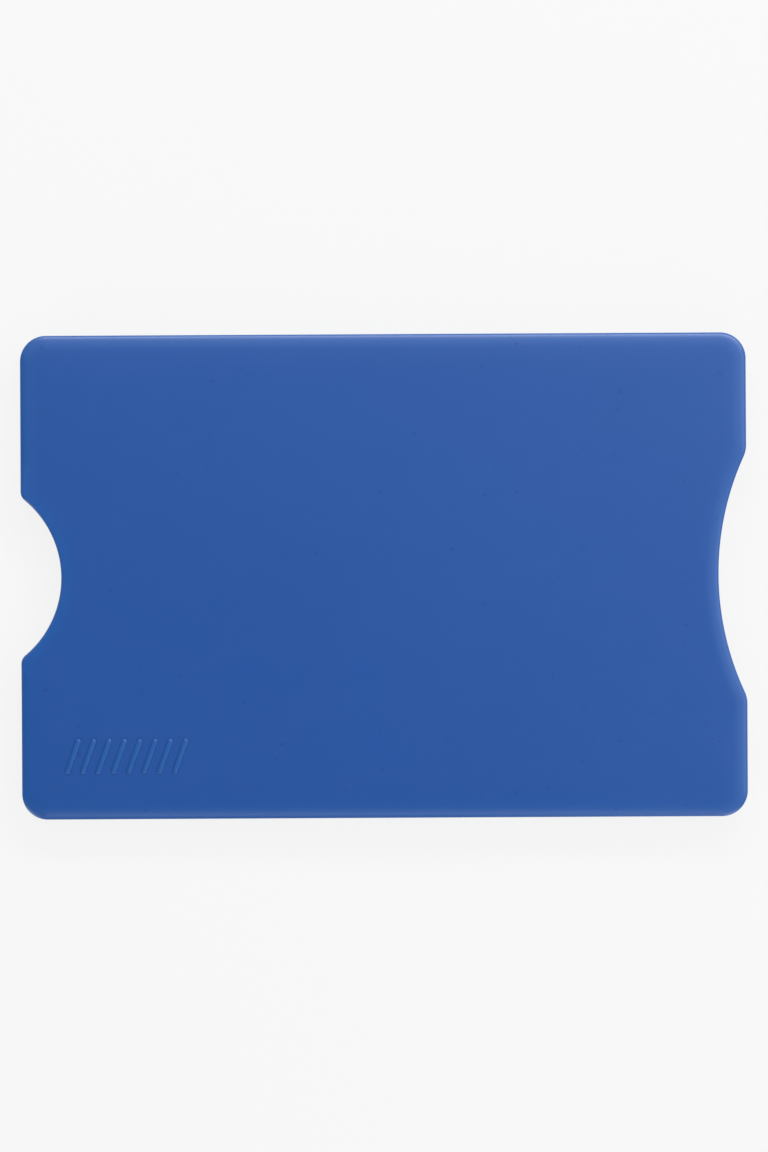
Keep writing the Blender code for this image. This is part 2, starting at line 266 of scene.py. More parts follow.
def arc(centre: Vector, radius: float, start: float, stop: float, steps: int,
        rounding: EdgeRound = NO_ROUND, hollow: bool = False) -> list[EdgePoint]:
    """Gives points along an arc.

    Args:
        centre: The arc's centre in the XY plane.
        radius: Its radius.
        start: The first point's angle.
        stop: The last point's angle.
        steps: How many steps lie between them.
        rounding: The rounding of the edge along it.
        hollow: Whether the panel lies outside the circle.

    Returns:
        One point more than there are steps.
    """
    points = []
    for step in range(steps + 1):
        angle = start + (stop - start) * step / steps
        spoke = Vector((math.cos(angle), math.sin(angle)))
        points.append(EdgePoint(centre + spoke * radius, -spoke if hollow else spoke, rounding))
    return points


def circle(x: float, y: float, radius: float, steps: int) -> list[EdgePoint]:
    """Gives the points of a whole circle round a place."""
    return arc(Vector((x, y)), radius, 0, FULL_TURN, steps)[:-1]


def quarter_turn(steps: int) -> list[tuple[float, float]]:
    """Gives (1 - cos, 1 - sin) at each step of a quarter turn, the inset and the drop of a unit rounding."""
    angles = [QUARTER_TURN * step / steps for step in range(steps + 1)]
    return [(1 - math.cos(angle), 1 - math.sin(angle)) for angle in angles]


@dataclass(frozen=True)
class HolderSizes:
    """The sizes that the layers share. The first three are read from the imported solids."""

    length: float
    half_width: float
    parting_level: float
    end_wall: float = 1.8 * MM
    rim_width: float = 2.71 * MM
    corner: float = 3.2 * MM
    slot_half_height: float = 0.65 * MM
    recess_depth: float = 0.25 * MM
    card_corner: float = 3.18 * MM
    side_clearance: float = 0.3 * MM
    ledge_width: float = 2 * MM
    notch_lip: float = 1.5 * MM
    mouth_lip: float = 3 * MM
    recess_corner: float = 2 * MM
    overrun: float = 0.3 * MM
    edge: EdgeRound = EdgeRound(2 * MM, 0.5 * MM)
    thumb: Notch = Notch(12.5 * MM, 5 * MM, 1.4 * MM, EdgeRound(0.35 * MM, 0.35 * MM))
    mouth: Notch = Notch(35 * MM, 3.5 * MM, 3.5 * MM, EdgeRound(1.8 * MM, 0.45 * MM), steps=48)
    crown: float = 0.12 * MM
    crown_run: float = 6 * MM
    recess_steps: int = 10
    bay_steps: int = 14

    @classmethod
    def from_solids(cls) -> "HolderSizes":
        """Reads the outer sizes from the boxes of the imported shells.

        Returns:
            The sizes, with the parting plane midway between the foils.
        """
        low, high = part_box("rear_shell")
        front_low, front_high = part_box("front_shield_foil")
        rear_low, rear_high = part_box("rear_shield_foil")
        parting_level = (front_low.z + front_high.z + rear_low.z + rear_high.z) / 4
        return cls(high.x - low.x, high.y, parting_level)

    @property
    def closed_end(self) -> float:
        """Where the closed end lies along X."""
        return -self.length / 2

    @property
    def mouth_end(self) -> float:
        """Where the mouth's corners lie along X."""
        return self.length / 2

    @property
    def bay_half_width(self) -> float:
        """From the X axis to the side wall of the card bay."""
        return self.half_width - self.rim_width

    @property
    def recess_level(self) -> float:
        """Height of the foil recess's floor in a side's own frame."""
        return self.slot_half_height + self.recess_depth

    def fall(self, x: float, y: float) -> float:
        """Gives how far the softly crowned face has fallen at a place near the straight sides.

        Args:
            x: The place along the card.
            y: The place across it.

        Returns:
            The fall, which is nothing beyond the crown's run from the sides.
        """
        ends = min(self.mouth_end - x, x - self.closed_end)
        sides = self.half_width - abs(y)
        shares = [max(1 - away / self.crown_run, 0) for away in (ends, sides)]
        return self.crown * sum(share * share for share in shares)

    def shell_panel(self) -> Panel:
        """Gives the outer outline of both shells."""
        return Panel(self.closed_end, self.mouth_end, self.half_width, self.corner,
                     self.thumb, self.mouth, self.edge)

    def recess_panel(self) -> Panel:
        """Gives the shape of the foil recess.

        Returns:
            A panel with a ledge along the walls and a lip round the notches.
        """
        setback = self.end_wall + self.ledge_width
        thumb, mouth = [
            Notch(notch.radius + self.notch_lip, notch.depth + self.notch_lip - away, self.recess_corner)
            for notch, away in ((self.thumb, setback), (self.mouth, self.mouth_lip))]
        return Panel(self.closed_end + setback, self.mouth_end - self.mouth_lip,
                     self.bay_half_width - self.ledge_width, self.recess_corner, thumb, mouth,
                     corner_steps=self.recess_steps)

    def bay_outline(self) -> list[EdgePoint]:
        """Gives the card bay seen from above.

        Returns:
            Points that leave it open past the mouth and round it like the card at the closed end.
        """
        radius = self.card_corner + self.side_clearance
        centre = Vector((self.closed_end + self.end_wall + radius, self.bay_half_width - radius))
        start = EdgePoint(Vector((self.mouth_end + self.overrun, self.bay_half_width)), Vector((0, 1)))
        half = [start] + arc(centre, radius, QUARTER_TURN, math.pi, self.bay_steps)
        return half + [point.mirrored() for point in half[::-1]]


def loft(mesh: BMesh, rings: Sequence[Sequence[Vector]], open_end: bool = False) -> list:
    """Joins rings of equally many points with quads and closes the ends.

    Args:
        mesh: The mesh that the faces go into.
        rings: The rings, from the first end to the last.
        open_end: Whether the last ring stays open.

    Returns:
        The last ring's vertices.
    """
    rows = [[mesh.verts.new(point) for point in ring] for ring in rings]
    for lower, upper in zip(rows, rows[1:]):
        for index, vertex in enumerate(lower):
            after = (index + 1) % len(lower)
            mesh.faces.new((vertex, lower[after], upper[after], upper[index]))
    mesh.faces.new(rows[0][::-1])
    if not open_end:
        mesh.faces.new(rows[-1])
    return rows[-1]


def distance_to_loop(points: np.ndarray, loop: np.ndarray) -> tuple[np.ndarray, np.ndarray]:
    """Measures points of the XY plane against a closed loop.

    Args:
        points: The points, one a row.
        loop: The loop's corners, one a row.

    Returns:
        Each point's distance to the loop, and whether it lies inside.
    """
    start = loop[None, :, :]
    run = np.roll(loop, -1, axis=0)[None, :, :] - start
    away = points[:, None, :] - start
    share = np.clip((away * run).sum(-1) / np.maximum((run * run).sum(-1), LEAST_SQUARED_LENGTH), 0, 1)
    distance = np.linalg.norm(away - share[..., None] * run, axis=-1).min(axis=1)
    rises = (start[..., 1] > points[:, None, 1]) != ((start + run)[..., 1] > points[:, None, 1])
    slope = np.where(run[..., 1] == 0, 1, run[..., 1])
    crossing = start[..., 0] + run[..., 0] * (points[:, None, 1] - start[..., 1]) / slope
    inside = (rises & (points[:, None, 0] < crossing)).sum(axis=1) % 2 == 1
    return distance, inside


def fill_loop(loop: Sequence[Vector], spacing: float) -> tuple[list[Vector], list[tuple[int, ...]]]:
    """Fills a closed loop of the XY plane with evenly spaced triangles.

    Args:
        loop: The loop's corners, anticlockwise.
        spacing: The distance between the rows of inner points.

    Returns:
        The points, of which the first are the loop's own, and the triangles.
    """
    corners = np.array([corner.to_2d() for corner in loop])
    low, high = corners.min(axis=0), corners.max(axis=0)
    rows = np.arange(low[1] + spacing / 2, high[1], spacing * math.sqrt(3) / 2)
    grid = []
    for number, y in enumerate(rows):
        xs = np.arange(low[0] + spacing * (1 + number % 2) / 2, high[0], spacing)
        grid.append(np.column_stack((xs, np.full(len(xs), y))))
    inner = np.concatenate(grid)
    distance, inside = distance_to_loop(inner, corners)
    kept = inside & (distance > spacing / 2)
    points = [Vector(corner) for corner in corners] + [Vector(point) for point in inner[kept]]
    edges = [(index, (index + 1) % len(corners)) for index in range(len(corners))]
    placed, _, faces, sources, _, _ = delaunay_2d_cdt(points, edges, [], 1, SAME_PLACE)
    if len(placed) != len(points):
        raise ValueError("the loop crosses itself, so it can't be filled")
    origin = {found: source[0] for found, source in enumerate(sources) if source}
    return points, [tuple(origin[index] for index in face) for face in faces]


def add_object(name: str, fill: Callable[[BMesh], object]) -> Object:
    """Makes a mesh object of what a function builds, with its faces outward.

    Args:
        name: The object's name.
        fill: Builds the faces in an empty mesh.

    Returns:
        The object, linked to the scene.
    """
    mesh = bmesh.new()
    fill(mesh)
    bmesh.ops.recalc_face_normals(mesh, faces=mesh.faces)
    data = bpy.data.meshes.new(name)
    mesh.to_mesh(data)
    mesh.free()
    made = bpy.data.objects.new(name, data)
    bpy.context.scene.collection.objects.link(made)
    return made


def add_prism(name: str, outlines: Iterable[Sequence[EdgePoint]], profile: Sequence[tuple[float, float]],
              open_end: bool = False) -> Object:
    """Makes one prism of each outline.

    Args:
        name: The object's name.
        outlines: The closed outlines.
        profile: The (inset, height) pairs of the prism's rings, from one end to the other.
        open_end: Whether the last ring stays open.

    Returns:
        The object, linked to the scene.
    """

    def fill(mesh: BMesh) -> None:
        """Builds the prisms in a mesh."""
        for outline in outlines:
            loft(mesh, [[point.inset(*level) for point in outline] for level in profile], open_end)

    return add_object(name, fill)


def combine(piece: Object, tool: Object, joining: Joining) -> None:
    """Joins a tool to a piece or cuts it away, and removes the tool.

    Args:
        piece: The piece, whose mesh is replaced by the result.
        tool: The tool, which is removed.
        joining: Whether the tool cuts or adds.
    """
    modifier = piece.modifiers.new(tool.name, "BOOLEAN")
    modifier.operation = joining.value
    modifier.solver = "EXACT"
    modifier.object = tool
    settle(piece)
    bpy.data.objects.remove(tool)


def settle(piece: Object) -> None:
    """Turns a piece and its modifiers into a plain mesh.

    Args:
        piece: The piece, whose modifiers are removed.
    """
    graph = bpy.context.evaluated_depsgraph_get()
    mesh = bpy.data.meshes.new_from_object(piece.evaluated_get(graph), preserve_all_data_layers=True,
                                           depsgraph=graph)
    piece.modifiers.clear()
    piece.data = mesh
    mesh.name = piece.name


def report(piece: Object) -> None:
    """Logs a piece's size and whether its mesh is closed.

    Args:
        piece: The piece to report.
    """
    mesh = bmesh.new()
    mesh.from_mesh(piece.data)
    loose = sum(len(edge.link_faces) != 2 for edge in mesh.edges)
    LOG.info("%s: %d faces, %d open or shared edges, %.2f mm3", piece.name, len(mesh.faces), loose,
             mesh.calc_volume() / MM ** 3)
    mesh.free()


def hand_over(piece: Object, node: str) -> None:
    """Smooths a piece between its creases, reports it and puts it in its solid's place on the body.

    Args:
        piece: The piece, in place.
        node: The solid that it stands for.
    """
    piece.data.shade_smooth()
    piece.data.set_sharp_from_angle(angle=CREASE_ANGLE)
    report(piece)
    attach(piece, BODY)
    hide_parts(node)


def linear(hex_colour: str) -> tuple[float, float, float, float]:
    """Turns an sRGB colour into a linear one.

    Args:
        hex_colour: Six hex digits.

    Returns:
        Red, green, blue and an alpha of 1.
    """
    channels = []
    for start in (0, 2, 4):
        channel = int(hex_colour[start:start + 2], 16) / 255
        if channel <= SRGB_LINEAR_END:
            channels.append(channel / SRGB_SLOPE)
        else:
            channels.append(((channel + SRGB_OFFSET) / (1 + SRGB_OFFSET)) ** SRGB_POWER)
    return (*channels, 1.0)


def add_node(tree: NodeTree, kind: str, inputs: dict | Sequence = (), **settings: object) -> Node:
    """Adds a node with its settings, constants and links.

    Args:
        tree: The tree that the node goes into.
        kind: The node's type.
        inputs: What each input holds, by its name or number, or in order from the first: a constant, a socket
            to link from, or a node whose first output is linked.
        settings: Values for the node's own properties.

    Returns:
        The node.
    """
    node = tree.nodes.new(kind)
    for name, value in settings.items():
        setattr(node, name, value)
    for key, value in inputs.items() if isinstance(inputs, dict) else enumerate(inputs):
        if isinstance(value, (Node, NodeSocket)):
            tree.links.new(value.outputs[0] if isinstance(value, Node) else value, node.inputs[key])
        else:
            node.inputs[key].default_value = value
    return node


def per_cell(size: float) -> float:
    """Gives the scale of a texture whose cells measure this many metres."""
    return 1 / size


def start_material(name: str, constants: dict[str, object]) -> tuple[Material, NodeTree]:
    """Starts a material.

    Args:
        name: Its name.
        constants: What the shader's own sockets hold all over the surface.

    Returns:
        The material and its node tree.
    """
    material = bpy.data.materials.new(name)
    material.use_nodes = True
    for key, value in constants.items():
        material.node_tree.nodes["Principled BSDF"].inputs[key].default_value = value
    return material, material.node_tree


def end_material(tree: NodeTree, colour: NodeSocket, rough: Node, height: Node, depth: float) -> None:
    """Links what varies over a surface to its shader.

    Args:
        tree: The material's node tree.
        colour: The base colour.
        rough: Gives the roughness.
        height: Gives the relief.
        depth: How many metres high a relief of 1 stands.
    """
    shader = tree.nodes["Principled BSDF"]
    bump = add_node(tree, "ShaderNodeBump", {"Distance": depth, "Height": height})
    for key, source in (("Base Color", colour), ("Roughness", rough.outputs[0]), ("Normal", bump.outputs[0])):
        tree.links.new(source, shader.inputs[key])


@dataclass(frozen=True)
class MouldedPolystyrene:
    """Blue high-impact polystyrene, injection moulded in a finely spark-eroded tool.

    The tool leaves a satin skin with an even fine grain. The melt leaves a faint cloudiness in the pigment
    and a soft unevenness like orange peel. Handling adds hairlines, a few pinprick pits and a little polish
    on the rims. The rims and rib tops also carry a painted highlight as a paler blue, and the pits carry
    painted shade as a darker blue. The real grain and hairlines are finer, and are drawn 0.22 mm wide so that
    they show.
    """

    name: str
    colour: str = "0D4996"
    light_colour: str = "104E9C"
    pit_shade_colour: str = "0A4089"
    rim_highlight_colour: str = "155CA7"
    rim_highlight_strength: float = 0.55
    roughness: float = 0.38
    roughness_spread: float = 0.03
    rim_polish: float = 0.03
    scuff_roughness: float = 0.05
    ior: float = 1.59
    cloud_size: float = 24 * MM
    mottle_size: float = 0.7 * MM
    grain_size: float = 0.22 * MM
    grain_height: float = 2.2 * MICRON
    peel_size: float = 3.2 * MM
    peel_height: float = 3.5 * MICRON
    pit_spacing: float = 4.2 * MM
    pit_share: float = 0.4
    pit_radius: float = 0.32 * MM
    least_pit_share: float = 1 / 3
    pit_depth: float = 6 * MICRON
    pit_steepness: float = 1.5
    scuff_length: float = 30 * MM
    scuff_width: float = 0.22 * MM
    scuff_angle: float = math.radians(28)
    scuff_onset: float = 0.62
    scuff_full: float = 0.72
    seed: float = 0.0

    def build(self) -> Material:
        """Builds the material.

        Returns:
            A material on Object coordinates, whose rims follow the mesh's own rim attribute, both for their
            polish and for their painted highlight.
        """
        material, tree = start_material(self.name, {"IOR": self.ior})
        place = add_node(tree, "ShaderNodeTexCoord").outputs["Object"]
        rim = add_node(tree, "ShaderNodeAttribute", attribute_name="rim").outputs["Fac"]
        pits = self.pits(tree, place)
        scuffs = self.scuffs(tree, place)
        cloud, mottle, patchy, grain, peel = [
            add_node(tree, "ShaderNodeTexNoise",
                     {"Vector": place, "W": self.seed, "Scale": per_cell(size), "Detail": octaves},
                     noise_dimensions="4D")
            for size, octaves in ((self.cloud_size, 2), (self.mottle_size, 1), (self.peel_size, 2),
                                  (self.grain_size, 1), (self.peel_size, 0))]

        both = add_node(tree, "ShaderNodeMath", (cloud, mottle), operation="ADD")
        pigment = add_node(tree, "ShaderNodeMath", (both, 0.5), operation="MULTIPLY")
        # Painted highlight: the rims and the rib tops are mixed towards a paler blue.
        rim_highlight_mask = add_node(tree, "ShaderNodeMath", (rim, self.rim_highlight_strength), operation="MULTIPLY")
        colour = linear(self.colour)
        # Painted shade: the pits are mixed towards a darker blue.
        for share, other in ((pigment, self.light_colour), (rim_highlight_mask, self.rim_highlight_colour),
                             (pits, self.pit_shade_colour)):
            colour = add_node(tree, "ShaderNodeMix", {0: share, 6: colour, 7: linear(other)},
                              data_type="RGBA").outputs[2]
        rough = self.roughness - self.roughness_spread
        for pattern, more in ((patchy, 2 * self.roughness_spread), (scuffs, self.scuff_roughness),
                              (rim, -self.rim_polish)):
            rough = add_node(tree, "ShaderNodeMath", (pattern, more, rough), operation="MULTIPLY_ADD",
                             use_clamp=True)
        height = 0.0
        for relief, rise in ((grain, self.grain_height), (peel, self.peel_height), (pits, -self.pit_depth)):
            height = add_node(tree, "ShaderNodeMath", (relief, rise / MICRON, height),
                              operation="MULTIPLY_ADD")
        end_material(tree, colour, rough, height, MICRON)
        return material

    def pits(self, tree: NodeTree, place: NodeSocket) -> Node:
        """Scatters pinprick pits, whose size each cell of a pattern draws for itself. The mask dents the
        surface and also paints shade into the pits as a darker blue.

        The share pit_share of the cells draws the least share of the full radius or more. Some of the others
        draw a fainter pit, and the rest draw none.

        Args:
            tree: The material's node tree.
            place: The Object coordinates.

        Returns:
            A node that gives 1 in the middle of a pit and 0 outside them.
        """
        shifted = add_node(tree, "ShaderNodeMapping",
                           {"Vector": place, "Location": (self.seed, self.seed, 0)})
        cells = add_node(tree, "ShaderNodeTexVoronoi",
                         {"Vector": shifted, "Scale": per_cell(self.pit_spacing), "Randomness": 1.0},
                         voronoi_dimensions="2D")
        draw = add_node(tree, "ShaderNodeSeparateColor", {"Color": cells.outputs["Color"]})
        reach = self.pit_radius / self.pit_spacing
        size = add_node(tree, "ShaderNodeMapRange",
                        {"Value": draw, "From Min": 1 - self.pit_share, "From Max": 1.0,
                         "To Min": reach * self.least_pit_share, "To Max": reach}, clamp=False)
        inside = add_node(tree, "ShaderNodeMath", (size, cells), operation="SUBTRACT")
        return add_node(tree, "ShaderNodeMath", (inside, self.pit_steepness / reach), operation="MULTIPLY",
                        use_clamp=True)

    def scuffs(self, tree: NodeTree, place: NodeSocket) -> Node:
        """Draws faint hairlines in two directions, as a pocket leaves them.

        Args:
            tree: The material's node tree.
            place: The Object coordinates.

        Returns:
            A node that gives 1 on a hairline and 0 beside them.
        """
        along, across = per_cell(self.scuff_length), per_cell(self.scuff_width)
        found = 0.0
        for angle in (self.scuff_angle, -self.scuff_angle / 2):
            turned = add_node(tree, "ShaderNodeMapping", {"Vector": place, "Rotation": (0, 0, angle)})
            drawn_out = add_node(tree, "ShaderNodeMapping",
                                 {"Vector": turned, "Scale": (along, across, across)})
            lines = add_node(tree, "ShaderNodeTexNoise",
                             {"Vector": drawn_out, "W": self.seed, "Scale": 1.0, "Detail": 2.0},
                             noise_dimensions="4D")
            sharp = add_node(tree, "ShaderNodeMapRange",
                             {"Value": lines, "From Min": self.scuff_onset, "From Max": self.scuff_full,
                              "To Min": 0.0, "To Max": 1.0})
            found = add_node(tree, "ShaderNodeMath", (sharp, found), operation="MAXIMUM")
        return found


@dataclass(frozen=True)
class RolledAluminiumFoil:
    """Bright aluminium shielding foil, cold rolled.

    Rolling leaves fine lines along the sheet that stretch its highlights across them. The real lines are
    finer, and are drawn 0.18 mm apart so that they show.
    """

    name: str
    colour: str = "D6D8DB"
    dull_colour: str = "C2C4C8"
    roughness: float = 0.5
    roughness_spread: float = 0.08
    line_length: float = 25 * MM
    line_spacing: float = 0.18 * MM
    line_height: float = 1.2 * MICRON

    def build(self) -> Material:
        """Builds the material.

        Returns:
            A material on Object coordinates.
        """
        material, tree = start_material(self.name, {"Metallic": 1.0})
        place = add_node(tree, "ShaderNodeTexCoord").outputs["Object"]
        along, across = per_cell(self.line_length), per_cell(self.line_spacing)
        drawn_out = add_node(tree, "ShaderNodeMapping", {"Vector": place, "Scale": (along, across, along)})
        lines = add_node(tree, "ShaderNodeTexNoise", {"Vector": drawn_out, "Scale": 1.0, "Detail": 3.0})
        colour = add_node(tree, "ShaderNodeMix",
                          {0: lines, 6: linear(self.dull_colour), 7: linear(self.colour)}, data_type="RGBA")
        rough = add_node(tree, "ShaderNodeMath",
                         (lines, 2 * self.roughness_spread, self.roughness - self.roughness_spread),
                         operation="MULTIPLY_ADD")
        end_material(tree, colour.outputs[2], rough, lines, self.line_height)
        return material


@dataclass(frozen=True)
class AcrylicAdhesiveFilm:
    """Double-sided acrylic adhesive film, laid by roller.

    It is a dull cream with a milky clouding where small air bubbles were rolled in.
    """

    name: str
    colour: str = "D8D2BE"
    cloudy_colour: str = "E4DFD0"
    roughness: float = 0.6
    roughness_spread: float = 0.08
    cloud_size: float = 4 * MM
    bubble_spacing: float = 0.9 * MM
    bubble_height: float = 4 * MICRON

    def build(self) -> Material:
        """Builds the material.

        Returns:
            A material on Object coordinates.
        """
        material, tree = start_material(self.name, {})
        place = add_node(tree, "ShaderNodeTexCoord").outputs["Object"]
        cloud = add_node(tree, "ShaderNodeTexNoise",
                         {"Vector": place, "Scale": per_cell(self.cloud_size), "Detail": 3.0})
        bubbles = add_node(tree, "ShaderNodeTexVoronoi",
                           {"Vector": place, "Scale": per_cell(self.bubble_spacing)}, feature="SMOOTH_F1")
        colour = add_node(tree, "ShaderNodeMix",
                          {0: cloud, 6: linear(self.colour), 7: linear(self.cloudy_colour)}, data_type="RGBA")
        rough = add_node(tree, "ShaderNodeMath",
                         (cloud, 2 * self.roughness_spread, self.roughness - self.roughness_spread),
                         operation="MULTIPLY_ADD")
        end_material(tree, colour.outputs[2], rough, bubbles, self.bubble_height)
        return material


class GeometryTree:
    """A Geometry Nodes tree with named inputs, which ends in Realize Instances and Set Material."""

    def __init__(self, name: str, material: Material) -> None:
        """Starts an empty tree.

        Args:
            name: The tree's name.
            material: What Set Material gives to every face.
        """
        self.tree = bpy.data.node_groups.new(name, "GeometryNodeTree")
        for in_out in ("INPUT", "OUTPUT"):
            self.tree.interface.new_socket("Geometry", in_out=in_out, socket_type="NodeSocketGeometry")
        self.group_input = self.tree.nodes.new("NodeGroupInput")
        self.material = material
        self.values: dict[str, float] = {}

    def number(self, name: str, value: float, socket_type: str = "NodeSocketFloat") -> NodeSocket:
        """Adds a named input and remembers its value.

        Args:
            name: The input's name.
            value: What the modifier sets it to.
            socket_type: The input's type.

        Returns:
            The socket to link from.
        """
        self.tree.interface.new_socket(name, in_out="INPUT", socket_type=socket_type)
        self.values[name] = value
        return self.group_input.outputs[name]

    def end(self, geometry: Node) -> None:
        """Closes the tree with the nodes that the finished piece needs.

        Args:
            geometry: The node that gives the geometry.
        """
        smooth = add_node(self.tree, "GeometryNodeSetShadeSmooth", {"Geometry": geometry})
        real = add_node(self.tree, "GeometryNodeRealizeInstances", {"Geometry": smooth})
        dressed = add_node(self.tree, "GeometryNodeSetMaterial",
                           {"Geometry": real, "Material": self.material})
        add_node(self.tree, "NodeGroupOutput", {"Geometry": dressed})

    def apply(self, piece: Object) -> None:
        """Runs the tree on a piece and keeps the result as its plain mesh.

        Args:
            piece: The piece, whose mesh is replaced by the result.
        """
        modifier = piece.modifiers.new(self.tree.name, "NODES")
        modifier.node_group = self.tree
        for item in self.tree.interface.items_tree:
            if item.item_type == "SOCKET" and item.in_out == "INPUT" and item.name in self.values:
                modifier[item.identifier] = self.values[item.name]
        settle(piece)


@dataclass(frozen=True)
class GripRibs:
    """The row of slanted ribs that the thumb pushes against, moulded onto the front face."""

    count: int = 8
    length: float = 4.6 * MM
    width: float = 0.65 * MM
    pitch: float = 1.9 * MM
    slant: float = math.radians(20)
    root: float = 0.15 * MM
    fullness: float = 1.25
    from_closed_end: float = 13 * MM
    from_long_edge: float = 7.8 * MM
    segments: int = 24
    rings: int = 17

    def build(self, sizes: HolderSizes, material: Material) -> Object:
        """Makes the row, ready to be joined to the front shell.

        Args:
            sizes: The holder's sizes.
            material: The front shell's plastic.

        Returns:
            The ribs as one object, in the front side's own frame.
        """
        tree = GeometryTree("grip_ribs", material)
        nodes = tree.tree
        count = tree.number("Count", self.count, "NodeSocketInt")
        pitch = tree.number("Pitch", self.pitch)
        half_width = tree.number("Half Width", self.width / 2)
        reach = tree.number("Reach", (self.length - self.width) / 2)
        height = tree.number("Height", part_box("front_shell")[1].z - 2 * sizes.parting_level)
        root = tree.number("Root", self.root)
        slant = tree.number("Slant", -self.slant)

        # A ball that lies along Y is drawn out to a rounded bar, full above and shallow at its root.
        ball = add_node(nodes, "GeometryNodeMeshUVSphere",
                        {"Segments": self.segments, "Rings": self.rings, "Radius": 1.0})
        lying = add_node(nodes, "GeometryNodeTransform", {"Geometry": ball, "Rotation": (QUARTER_TURN, 0, 0)})
        position = add_node(nodes, "GeometryNodeInputPosition")
        across, along, up = add_node(nodes, "ShaderNodeSeparateXYZ", (position,)).outputs
        x = add_node(nodes, "ShaderNodeMath", (across, half_width), operation="MULTIPLY")
        end = add_node(nodes, "ShaderNodeMath", (along,), operation="SIGN")
        shift = add_node(nodes, "ShaderNodeMath", (end, reach), operation="MULTIPLY")
        y = add_node(nodes, "ShaderNodeMath", (along, half_width, shift), operation="MULTIPLY_ADD")
        top = up
        for operation, *values in (("MAXIMUM", 0.0), ("MULTIPLY_ADD", -1.0, 1.0), ("POWER", self.fullness),
                                   ("MULTIPLY_ADD", -1.0, 1.0), ("MULTIPLY", height)):
            top = add_node(nodes, "ShaderNodeMath", (top, *values), operation=operation)
        down = add_node(nodes, "ShaderNodeMath", (up, 0.0), operation="MINIMUM")
        z = add_node(nodes, "ShaderNodeMath", (down, root, top), operation="MULTIPLY_ADD")
        shaped = add_node(nodes, "ShaderNodeCombineXYZ", (x, y, z))
        rib = add_node(nodes, "GeometryNodeSetPosition", {"Geometry": lying, "Position": shaped})

        step = add_node(nodes, "ShaderNodeCombineXYZ", {0: pitch})
        gaps = add_node(nodes, "ShaderNodeMath", (count, 1.0), operation="SUBTRACT")
        first = add_node(nodes, "ShaderNodeMath", (gaps, -0.5), operation="MULTIPLY")
        start = add_node(nodes, "ShaderNodeVectorMath", {0: step, "Scale": first}, operation="SCALE")
        row = add_node(nodes, "GeometryNodeMeshLine",
                       {"Count": count, "Start Location": start, "Offset": step})
        turn = add_node(nodes, "ShaderNodeCombineXYZ", {2: slant})
        copies = add_node(nodes, "GeometryNodeInstanceOnPoints",
                          {"Points": row, "Instance": rib, "Rotation": turn})
        middle = (sizes.closed_end + self.from_closed_end, self.from_long_edge - sizes.half_width,
                  sizes.parting_level)
        tree.end(add_node(nodes, "GeometryNodeTransform", {"Geometry": copies, "Translation": middle}))

        ribs = add_object("grip_ribs", lambda mesh: None)
        tree.apply(ribs)
        return ribs


